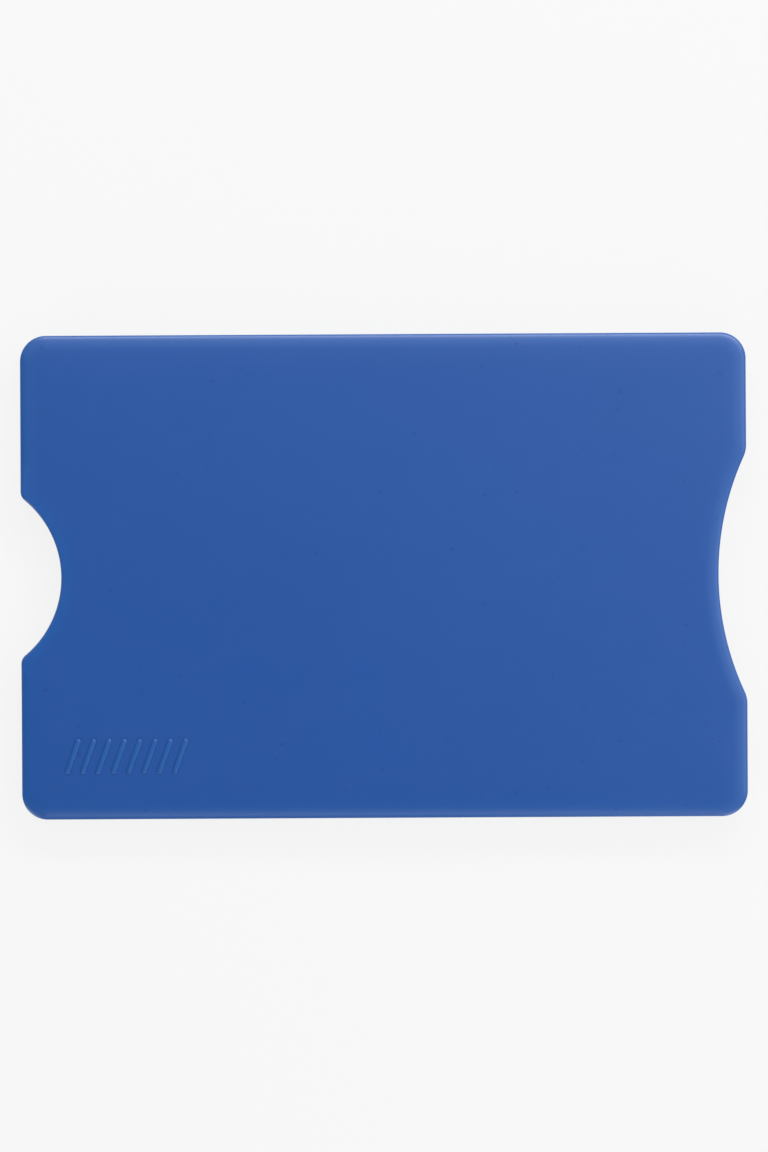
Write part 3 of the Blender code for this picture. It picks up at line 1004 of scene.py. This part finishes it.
@dataclass
class Shell:
    """One moulded shell: its rounded skin, the card bay and foil recess in it, a lead-in and two bumps."""

    sizes: HolderSizes
    finish: MouldedPolystyrene
    side: Side
    seam_gap: float = 0.04 * MM
    seam_round: float = 0.13 * MM
    face_spacing: float = 1.1 * MM
    wall_chamfer: float = 0.08 * MM
    inner_round: float = 0.15 * MM
    recess_chamfer: float = 0.05 * MM
    lead_in: float = 0.3 * MM
    lead_in_margin: float = 0.5 * MM
    bump_radius: float = 0.8 * MM
    bump_height: float = 0.2 * MM
    bump_from_mouth: float = 8 * MM
    bump_rings: tuple[float, ...] = (0.06, 0.2, 0.35, 0.5, 0.65, 0.8, 0.95, 1.1)
    bump_steps: int = 32
    tongue_width: float = 0.6 * MM
    tongue_height: float = 0.5 * MM
    tongue_end_gap: float = 1 * MM
    tongue_chamfer: float = 0.1 * MM
    groove_clearance: float = 0.1 * MM
    rim_reach: float = 3 * MM
    polish_and_highlight_height: float = 0.1 * MM
    seam_steps: int = 4
    edge_steps: int = 16

    @property
    def seam_level(self) -> float:
        """Height of the seam's face in this side's own frame."""
        return self.seam_gap / 2

    def build(self) -> Object:
        """Makes the shell, finished and in place.

        Returns:
            The shell's object, riding on the body in place of its solid.
        """
        material = self.finish.build()
        shell = add_object(f"{self.side.value}_shell_moulding", self.skin)
        shell.data.materials.append(material)
        combine(shell, self.bay_tool(), Joining.CUT)
        combine(shell, self.recess_tool(), Joining.CUT)
        combine(shell, self.bumps(), Joining.ADD)
        combine(shell, self.lead_in_tool(), Joining.CUT)
        self.add_features(shell, material)
        self.mark_rim(shell)
        shell.data.transform(self.side.to_frame(self.sizes.parting_level))
        shading = shell.modifiers.new("flat_faces", "WEIGHTED_NORMAL")
        shading.keep_sharp = True
        hand_over(shell, f"{self.side.value}_shell")
        return shell

    def add_features(self, shell: Object, material: Material) -> None:
        """Adds what only this side has."""

    def skin(self, mesh: BMesh) -> None:
        """Builds the closed outer form: a rounded seam edge, an upright land, the edge rounding and the face.

        Args:
            mesh: The mesh that the faces go into.
        """
        outline = self.sizes.shell_panel().outline()
        rings = []
        for inset, drop in quarter_turn(self.seam_steps):
            rings.append([point.inset(self.seam_round * drop, self.seam_level + self.seam_round * inset)
                          for point in outline])
        for inset, drop in quarter_turn(self.edge_steps):
            rings.append([self.on_face(point.inset(point.rounding.reach * inset, -point.rounding.drop * drop))
                          for point in outline])
        vertices = loft(mesh, rings, open_end=True)
        points, triangles = fill_loop([vertex.co for vertex in vertices], self.face_spacing)
        for point in points[len(vertices):]:
            vertices.append(mesh.verts.new(self.on_face(Vector((point.x, point.y, 0)))))
        for triangle in triangles:
            mesh.faces.new([vertices[index] for index in triangle])

    def on_face(self, place: Vector) -> Vector:
        """Lifts a place, whose height is counted from the face, onto the crowned face."""
        level = self.sizes.parting_level - self.sizes.fall(place.x, place.y)
        return Vector((place.x, place.y, level + place.z))

    def bay_tool(self) -> Object:
        """Makes the card bay's cutter.

        Returns:
            A prism with a chamfer at the wall's top and a round along the floor.
        """
        sizes = self.sizes
        lift = sizes.overrun
        profile = [(-self.wall_chamfer - lift, self.seam_level - lift),
                   (0, self.seam_level + self.wall_chamfer)]
        for inset, drop in quarter_turn(self.seam_steps):
            profile.append((self.inner_round * inset, sizes.slot_half_height - self.inner_round * drop))
        return add_prism("bay_tool", [sizes.bay_outline()], profile)

    def recess_tool(self) -> Object:
        """Makes the foil recess's cutter.

        Returns:
            A prism with a chamfer along its upper edge.
        """
        sizes = self.sizes
        lift = sizes.overrun
        profile = [(-self.recess_chamfer - lift, sizes.slot_half_height - lift),
                   (0, sizes.slot_half_height + self.recess_chamfer), (0, sizes.recess_level)]
        return add_prism("recess_tool", [sizes.recess_panel().outline()], profile)

    def lead_in_tool(self) -> Object:
        """Makes the wedge that leaves a slope along the mouth for the card to enter by.

        Returns:
            The wedge, which follows the mouth's edge from wall to wall.
        """
        sizes = self.sizes
        last_y = sizes.bay_half_width - self.lead_in_margin
        rise = max(last_y - (sizes.half_width - sizes.corner), 0)
        last_x = sizes.mouth_end - sizes.corner + math.sqrt(sizes.corner ** 2 - rise ** 2)
        last = EdgePoint(Vector((last_x, last_y)), Vector((1, 0)))
        side = [point for point in sizes.shell_panel().end_half(1) if point.place.y < last_y] + [last]
        upper = [first.halfway(second) for first, second in zip(side, side[1:])] + [last]
        path = [point.mirrored() for point in upper[::-1]] + upper
        lift = sizes.overrun
        foot = sizes.slot_half_height - lift
        top = sizes.slot_half_height + self.lead_in + lift
        sections = [(self.lead_in + lift, foot), (-lift, foot), (-lift, top)]
        rings = [[point.inset(distance, height) for distance, height in sections] for point in path]
        return add_object("lead_in_tool", lambda mesh: loft(mesh, rings))

    def bumps(self) -> Object:
        """Makes the two low domes on the ledges near the mouth that hold the card.

        Returns:
            Both domes as one object.
        """
        sizes = self.sizes
        sphere = (self.bump_radius ** 2 + self.bump_height ** 2) / (2 * self.bump_height)
        rim_angle = math.asin(self.bump_radius / sphere)
        profile = []
        for share in self.bump_rings:
            radius = sphere * math.sin(rim_angle * share)
            drop = sphere * (math.cos(rim_angle * share) - math.cos(rim_angle))
            profile.append((self.bump_radius - radius, sizes.slot_half_height - drop))
        profile.append((0, sizes.slot_half_height + sizes.overrun))
        x = sizes.mouth_end - self.bump_from_mouth
        y = sizes.bay_half_width - sizes.ledge_width / 2
        outlines = [circle(x, place, self.bump_radius, self.bump_steps) for place in (y, -y)]
        return add_prism("bumps", outlines, profile)

    def tongue_outlines(self, margin: float) -> list[list[EdgePoint]]:
        """Gives the tongue's two bands, each along a long side and round the corner to the thumb notch.

        Args:
            margin: How much wider the band is on every side, for the groove.

        Returns:
            Two closed outlines with their outward directions.
        """
        sizes = self.sizes
        inset = (sizes.end_wall - self.tongue_width) / 2
        start_x = sizes.mouth_end - sizes.corner - self.tongue_end_gap + margin
        stop_y = sizes.thumb.half_width() + self.tongue_end_gap - margin
        path = [EdgePoint(Vector((start_x, sizes.half_width)), Vector((0, 1)))]
        path += sizes.shell_panel().corner_arc(-1)
        path += [EdgePoint(Vector((sizes.closed_end, stop_y)), Vector((-1, 0)))]
        outlines = []
        for side in (path, [point.mirrored() for point in path]):
            outer = [EdgePoint(point.inset(inset - margin, 0).to_2d(), point.outward) for point in side]
            inner = [EdgePoint(point.inset(inset + self.tongue_width + margin, 0).to_2d(), -point.outward)
                     for point in side]
            outlines.append(outer + inner[::-1])
        return outlines

    def mark_rim(self, shell: Object) -> None:
        """Marks each vertex near the outer edge or on a rib, where handling polishes the plastic and a
        painted highlight pales it.

        Args:
            shell: The shell, in this side's own frame.
        """
        outline = np.array([point.place for point in self.sizes.shell_panel().outline()])
        places = np.empty(len(shell.data.vertices) * 3, np.float32)
        shell.data.vertices.foreach_get("co", places)
        places = places.reshape(-1, 3).astype(float)
        near, _ = distance_to_loop(places[:, :2], outline)
        # The mark drives the polish and also the painted highlight, a paler blue on the edges and rib tops.
        by_edge = np.clip(1 - near / self.rim_reach, 0, 1) ** 2
        proud = np.clip((places[:, 2] - self.sizes.parting_level) / self.polish_and_highlight_height, 0, 1)
        attribute = shell.data.attributes.new("rim", "FLOAT", "POINT")
        attribute.data.foreach_set("value", np.maximum(by_edge, proud).astype(np.float32))


@dataclass
class FrontShell(Shell):
    """The front shell, which carries the tongue of the welded joint and the grip ribs."""

    ribs: GripRibs = field(default_factory=GripRibs)

    def add_features(self, shell: Object, material: Material) -> None:
        """Adds the tongue and the ribs.

        Args:
            shell: The shell, in this side's own frame.
            material: Its plastic.
        """
        profile = [(self.tongue_chamfer, -self.tongue_height), (0, self.tongue_chamfer - self.tongue_height),
                   (0, self.seam_level + self.sizes.overrun)]
        combine(shell, add_prism("tongue", self.tongue_outlines(0), profile), Joining.ADD)
        combine(shell, self.ribs.build(self.sizes, material), Joining.ADD)


@dataclass
class RearShell(Shell):
    """The rear shell, which has the groove of the welded joint and the mark that the mould's gate leaves."""

    dish_radius: float = 1.5 * MM
    dish_slope: float = 0.5 * MM
    dish_chamfer: float = 0.12 * MM
    dish_depth: float = 0.12 * MM
    dish_rise: float = 0.015 * MM
    nub_radius: float = 0.45 * MM
    nub_slope: float = 0.15 * MM
    nub_side: float = 0.04 * MM
    nub_height: float = 0.08 * MM
    gate_steps: int = 40

    def add_features(self, shell: Object, material: Material) -> None:
        """Cuts the groove and the gate's dish, and leaves the gate's nub in it.

        Args:
            shell: The shell, in this side's own frame.
            material: Its plastic, which needs no more here.
        """
        lift = self.sizes.overrun
        face = self.sizes.parting_level
        floor = face - self.dish_depth
        groove = [(0, self.seam_level - lift), (0, self.tongue_height + self.groove_clearance)]
        dish = [(self.dish_slope, floor), (self.dish_chamfer, floor + self.dish_rise), (0, face),
                (0, face + lift)]
        nub = [(0, floor - lift), (0, floor + self.nub_side), (self.nub_slope, floor + self.nub_height)]
        bands = self.tongue_outlines(self.groove_clearance)
        dish_rim = circle(0, 0, self.dish_radius, self.gate_steps)
        nub_rim = circle(0, 0, self.nub_radius, self.gate_steps)
        combine(shell, add_prism("groove", bands, groove), Joining.CUT)
        combine(shell, add_prism("gate_dish", [dish_rim], dish), Joining.CUT)
        combine(shell, add_prism("gate_nub", [nub_rim], nub), Joining.ADD)


@dataclass
class Shield:
    """The shielding foil of one side, and the adhesive film that holds it in the shell's recess."""

    sizes: HolderSizes
    side: Side
    foil_finish: RolledAluminiumFoil
    adhesive_finish: AcrylicAdhesiveFilm
    foil_setback: float = 0.25 * MM
    adhesive_setback: float = 0.5 * MM
    crinkle_height: float = 0.03 * MM
    crease_spacing: float = 9 * MM
    crease_sharpness: float = 4.0
    sheet_spacing: float = 0.9 * MM
    seed: float = 0.0

    def build(self) -> list[Object]:
        """Makes the foil and the adhesive, finished and in place.

        Returns:
            Both objects, riding on the body in place of their solids.
        """
        foil_node = f"{self.side.value}_shield_foil"
        foil = self.sheet(f"{self.side.value}_foil_sheet", foil_node, self.foil_setback)
        self.crinkle(foil)
        film_node = f"{self.side.value}_foil_adhesive"
        film = self.sheet(f"{self.side.value}_adhesive_layer", film_node, self.adhesive_setback)
        film.data.materials.append(self.adhesive_finish.build())
        hand_over(foil, foil_node)
        hand_over(film, film_node)
        return [foil, film]

    def sheet(self, name: str, node: str, setback: float) -> Object:
        """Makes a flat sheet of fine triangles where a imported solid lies.

        Args:
            name: The sheet's name.
            node: The solid whose faces it takes its levels from.
            setback: How far it stays inside the recess.

        Returns:
            The sheet's object.
        """
        low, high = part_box(node)
        loop = [point.inset(setback, 0) for point in self.sizes.recess_panel().outline()]
        points, triangles = fill_loop(loop, self.sheet_spacing)

        def fill(mesh: BMesh) -> None:
            """Builds both faces and the side between them.

            Args:
                mesh: The mesh that the faces go into.
            """
            lower, upper = [[mesh.verts.new((point.x, point.y, level)) for point in points]
                            for level in (low.z, high.z)]
            for triangle in triangles:
                mesh.faces.new([upper[index] for index in triangle])
                mesh.faces.new([lower[index] for index in reversed(triangle)])
            for index in range(len(loop)):
                after = (index + 1) % len(loop)
                mesh.faces.new((lower[index], lower[after], upper[after], upper[index]))

        return add_object(name, fill)

    def crinkle(self, foil: Object) -> None:
        """Lifts the foil along creases, always towards the card, and gives it its metal.

        Args:
            foil: The foil's flat sheet, whose mesh is replaced by the result.
        """
        tree = GeometryTree("crinkled_foil", self.foil_finish.build())
        nodes = tree.tree
        spacing = tree.number("Creases Per Metre", per_cell(self.crease_spacing))
        lift = tree.number("Lift", -self.crinkle_height if self.side is Side.FRONT else self.crinkle_height)
        seed = tree.number("Seed", self.seed)
        position = add_node(nodes, "GeometryNodeInputPosition")
        flat = add_node(nodes, "ShaderNodeVectorMath", (position, (1, 1, 0)), operation="MULTIPLY")
        height = add_node(nodes, "ShaderNodeTexNoise",
                          {"Vector": flat, "W": seed, "Scale": spacing, "Detail": 2.0}, noise_dimensions="4D")
        # A crease stands where the noise passes its middle value, and falls away steeply on both sides.
        for operation, *values in (("MULTIPLY_ADD", 2.0, -1.0), ("ABSOLUTE",), ("MULTIPLY_ADD", -1.0, 1.0),
                                   ("POWER", self.crease_sharpness), ("MULTIPLY", lift)):
            height = add_node(nodes, "ShaderNodeMath", (height, *values), operation=operation)
        offset = add_node(nodes, "ShaderNodeCombineXYZ", {2: height})
        tree.end(add_node(nodes, "GeometryNodeSetPosition",
                          {"Geometry": tree.group_input.outputs["Geometry"], "Offset": offset}))
        tree.apply(foil)


@dataclass
class CardHolder:
    """The whole holder: both shells and both shields."""

    sizes: HolderSizes
    rear_plastic_seed: float = 7.3
    front_foil_seed: float = 1.7
    rear_foil_seed: float = 5.1

    def build(self) -> list[Object]:
        """Builds every sub-assembly in order.

        Returns:
            The finished pieces.
        """
        front = MouldedPolystyrene("front_moulded_polystyrene")
        rear = MouldedPolystyrene("rear_moulded_polystyrene", seed=self.rear_plastic_seed)
        pieces = [FrontShell(self.sizes, front, Side.FRONT).build(),
                  RearShell(self.sizes, rear, Side.REAR).build()]
        for side, seed in ((Side.FRONT, self.front_foil_seed), (Side.REAR, self.rear_foil_seed)):
            foil = RolledAluminiumFoil(f"{side.value}_rolled_aluminium")
            film = AcrylicAdhesiveFilm(f"{side.value}_acrylic_adhesive")
            pieces += Shield(self.sizes, side, foil, film, seed=seed).build()
        return pieces


@dataclass(frozen=True)
class SoftBox:
    """A studio lamp that faces the holder, square or stretched to a level strip.

    The compass angle counts clockwise from +Y, and the share says how much of the plain light level, at which
    a colour shows as it is written, the lamp gives to a level face.
    """

    name: str
    compass: float
    elevation: float
    distance: float
    size: float
    share: float
    stretch: float = 1.0

    def build(self) -> None:
        """Adds the lamp."""
        compass, elevation = math.radians(self.compass), math.radians(self.elevation)
        away = Vector((math.sin(compass) * math.cos(elevation), math.cos(compass) * math.cos(elevation),
                       math.sin(elevation)))
        lamp = bpy.data.lights.new(self.name, "AREA")
        lamp.shape = "RECTANGLE"
        lamp.size = self.size * self.stretch
        lamp.size_y = self.size
        lamp.energy = self.share * (math.pi * self.distance) ** 2 / away.z
        made = bpy.data.objects.new(self.name, lamp)
        made.location = away * self.distance
        made.rotation_euler = away.to_track_quat("Z", "Y").to_euler()
        made.visible_camera = False
        bpy.context.scene.collection.objects.link(made)


@dataclass(frozen=True)
class Studio:
    """The pale floor with its low wall, the soft light and the camera straight above the holder."""

    sizes: HolderSizes
    backdrop: str = "F7F7F7"
    sky: str = "FFFFFF"
    paper_roughness: float = 0.9
    shadow_share: float = 0.08
    floor_radius: float = 4.0
    wall_height: float = 0.6
    sweep: float = 0.3
    sweep_steps: int = 8
    wall_steps: int = 96
    floor_drop: float = 0.02 * MM
    dome: float = 0.181
    image_width_px: float = 768
    image_height_px: float = 1152
    holder_x_px: float = 383.9
    holder_y_px: float = 576.0
    pixels_per_mm: float = 8.045
    holder_turn: float = math.radians(0.3)
    lens: float = 150.0
    sensor: float = 36.0
    nearest_view: float = 10 * MM
    lamps: tuple[SoftBox, ...] = (
        SoftBox("overhead_right", 38, 56, 0.28, 0.25, 0.163),
        SoftBox("upper_left", -40, 45, 0.27, 0.24, 0.104),
        SoftBox("right", 110, 47, 0.43, 0.35, 0.086),
        SoftBox("top_strip", 16, 34, 0.60, 0.119, 0.470, stretch=6.6),
        SoftBox("right_strip", 77, 38, 0.79, 0.207, 0.091, stretch=2.6),
        SoftBox("near_fill", 182, 51, 0.90, 0.31, 0.059),
        SoftBox("near_edge", 151, 19, 0.28, 0.13, 0.080),
        SoftBox("lower_left", 222, 16, 0.90, 0.44, 0.077),
    )

    def build(self) -> None:
        """Sets up the whole studio."""
        self.floor()
        self.world()
        for lamp in self.lamps:
            lamp.build()
        self.camera()
        bpy.context.scene.view_settings.view_transform = "Standard"

    def floor(self) -> None:
        """Adds a round floor that sweeps up into a low wall."""
        profile = [(self.sweep * inset, self.sweep * drop - self.floor_drop)
                   for inset, drop in quarter_turn(self.sweep_steps)[::-1]]
        profile.append((0, self.wall_height - self.floor_drop))
        floor = add_prism("floor", [circle(0, 0, self.floor_radius, self.wall_steps)], profile, open_end=True)
        floor.data.materials.append(self.paper())

    def paper(self) -> Material:
        """Makes the backdrop paper.

        Returns:
            A material that shows as plain background, yet takes a little of the shadow.
        """
        constants = {"Base Color": linear(self.backdrop), "Roughness": self.paper_roughness,
                     "Specular IOR Level": 0.0}
        material, tree = start_material("backdrop_paper", constants)
        glow = add_node(tree, "ShaderNodeEmission", {"Color": linear(self.backdrop), "Strength": 1.0})
        rays = add_node(tree, "ShaderNodeLightPath")
        seen = 0.0
        for ray in ("Is Camera Ray", "Is Glossy Ray", "Is Transmission Ray"):
            seen = add_node(tree, "ShaderNodeMath", (rays.outputs[ray], seen), operation="MAXIMUM")
        shown = add_node(tree, "ShaderNodeMath", (seen, 1 - self.shadow_share), operation="MULTIPLY")
        mixed = add_node(tree, "ShaderNodeMixShader", (shown, tree.nodes["Principled BSDF"], glow))
        tree.links.new(mixed.outputs[0], tree.nodes["Material Output"].inputs["Surface"])
        return material

    def world(self) -> None:
        """Sets an even, dim dome of light."""
        world = bpy.data.worlds.new("studio")
        bpy.context.scene.world = world
        world.use_nodes = True
        sky = world.node_tree.nodes["Background"]
        sky.inputs["Color"].default_value = linear(self.sky)
        sky.inputs["Strength"].default_value = self.dome

    def camera(self) -> None:
        """Adds the camera straight above, framed and turned as the holder lies in the picture."""
        data = bpy.data.cameras.new("camera")
        data.sensor_fit = "VERTICAL"
        data.sensor_height = self.sensor
        data.lens = self.lens
        data.clip_start = self.nearest_view
        view_height = self.image_height_px / self.pixels_per_mm * MM
        distance = view_height * self.lens / self.sensor
        right = (self.image_width_px / 2 - self.holder_x_px) / self.pixels_per_mm * MM
        down = (self.image_height_px / 2 - self.holder_y_px) / self.pixels_per_mm * MM
        camera = bpy.data.objects.new("camera", data)
        camera.location = (right, -down, self.sizes.parting_level + distance)
        camera.rotation_euler = (0, 0, -self.holder_turn)
        bpy.context.scene.collection.objects.link(camera)
        bpy.context.scene.camera = camera


def main() -> None:
    """Builds the holder and its studio."""
    logging.basicConfig(level=logging.INFO, format="%(name)s: %(message)s")
    sizes = HolderSizes.from_solids()
    pieces = CardHolder(sizes).build()
    Studio(sizes).build()
    LOG.info("%d pieces", len(pieces))


if __name__ == "__main__":
    main()
